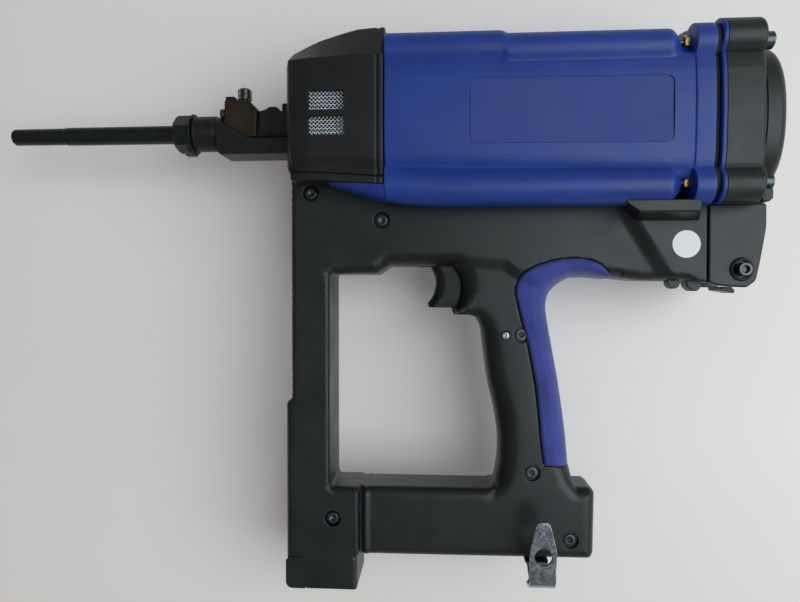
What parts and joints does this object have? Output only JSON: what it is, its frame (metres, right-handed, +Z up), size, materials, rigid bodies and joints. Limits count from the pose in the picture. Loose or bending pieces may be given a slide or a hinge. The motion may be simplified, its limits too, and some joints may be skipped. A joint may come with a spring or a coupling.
{
  "type": "gas-actuated nail gun",
  "caption": "Long-nose gas-actuated nail gun: ribbed housing, vented front shroud, loop handle with battery strut, fuel door and belt hook.",
  "frame": {"origin": "on the ground plane under the middle of the overall box, level with the foot of the front strut", "axes": "+X from the muzzle to the rear cap along the drive axis, +Z up, +Y to the tool's right-hand side"},
  "size_m": [0.554, 0.11, 0.3898],
  "materials": {
    "black_plastic": "fine-grain moulded black nylon, satin, lightly scuffed",
    "blue_paint": "dark blue semi-matt paint on an aluminium housing",
    "blue_rubber": "textured blue rubber grip, light bloom on the rear",
    "black_rubber": "plain black rubber",
    "black_steel": "black-oxide steel, satin",
    "black_casting": "black-coated casting, satin",
    "bronze_plate": "bronze-toned heat-treated steel plate",
    "bright_steel": "bright steel, lightly brushed",
    "steel_mesh": "woven steel wire cloth",
    "cast_alloy": "machined and cast aluminium alloy",
    "brass": "plain brass",
    "white_ceramic": "off-white insulator",
    "inner_plastic": "dark green-grey moulded plastic"
  },
  "bodies": {
    "root": {"left_body_shell": "black_plastic", "right_body_shell": "black_plastic", "body_screw_1": "black_steel", "body_screw_2": "black_steel", "body_screw_3": "black_steel", "body_screw_4": "black_steel", "body_screw_5": "black_steel", "body_screw_6": "black_steel", "left_grip_pad": "blue_rubber", "right_grip_pad": "blue_rubber", "main_housing": "blue_paint", "rear_gasket": "black_rubber", "rear_spacer_ring": "blue_paint", "rear_cover": "black_plastic", "rear_screw_1": "black_steel", "rear_screw_2": "black_steel", "rear_screw_3": "black_steel", "rear_screw_4": "black_steel", "motor_cover": "black_plastic", "front_shroud": "black_plastic", "filter_screen_left": "steel_mesh", "filter_screen_right": "steel_mesh", "probe_spring": "bright_steel", "cylinder": "cast_alloy", "bumper": "black_rubber", "cylinder_head": "cast_alloy", "fan_motor": "bright_steel", "spark_plug": "white_ceramic", "fuel_cell": "cast_alloy", "fuel_valve": "brass", "fuel_line": "inner_plastic", "trigger_spring": "bright_steel", "trigger_switch": "inner_plastic", "door_hinge_bracket": "bright_steel", "door_bolt": "black_steel", "battery_terminal": "brass", "control_board": "inner_plastic", "ignition_coil": "white_ceramic", "belt_hook": "bright_steel", "hook_screw": "black_steel"},
    "nose": {"muzzle_tube": "black_steel", "hex_nut": "black_steel", "lock_washer": "black_steel", "nose_body": "black_casting", "nose_bracket": "bronze_plate", "nose_spacer": "black_steel", "nose_cap_screw": "black_steel", "nose_side_screw": "black_steel", "nose_clamp": "black_casting", "lifter": "bright_steel", "combustion_sleeve": "cast_alloy"},
    "piston_body": {"piston": "cast_alloy", "piston_ring": "black_rubber", "driver_blade": "bright_steel"},
    "fan_body": {"fan": "inner_plastic"},
    "trigger_body": {"trigger": "black_plastic"},
    "door_body": {"fuel_door": "black_plastic"},
    "door_latch_body": {"door_latch": "black_plastic"},
    "battery_body": {"battery_pack": "black_plastic"},
    "battery_latch_body": {"battery_latch": "black_plastic"}
  },
  "joints": [
    {"name": "nose_slide", "type": "slide", "parent": "root", "child": "nose", "axis": [1, 0, 0], "range_m": [0, 0.02], "stiffness_N_per_m": 900, "springref_m": -0.012, "deforming": ["probe_spring"]},
    {"name": "piston_drive", "type": "slide", "parent": "root", "child": "piston_body", "axis": [-1, 0, 0], "range_m": [0, 0.094]},
    {"name": "fan_spin", "type": "hinge", "parent": "root", "child": "fan_body", "pos_m": [0.19, 0, 0.3283], "axis": [1, 0, 0], "continuous": true},
    {"name": "trigger_pull", "type": "slide", "parent": "root", "child": "trigger_body", "axis": [1, 0, 0], "range_m": [0, 0.007], "deforming": ["trigger_spring"]},
    {"name": "fuel_door_hinge", "type": "hinge", "parent": "root", "child": "door_body", "pos_m": [0.246, 0, 0.2263], "axis": [0, 1, 0], "range_deg": [0, 85]},
    {"name": "door_latch_slide", "type": "slide", "parent": "root", "child": "door_latch_body", "axis": [1, 0, 0], "range_m": [0, 0.004]},
    {"name": "battery_slide", "type": "slide", "parent": "root", "child": "battery_body", "axis": [0, 0, -1], "range_m": [0, 0.045]},
    {"name": "battery_latch_press", "type": "slide", "parent": "root", "child": "battery_latch_body", "axis": [0, 1, 0], "range_m": [0, 0.002]}
  ]
}
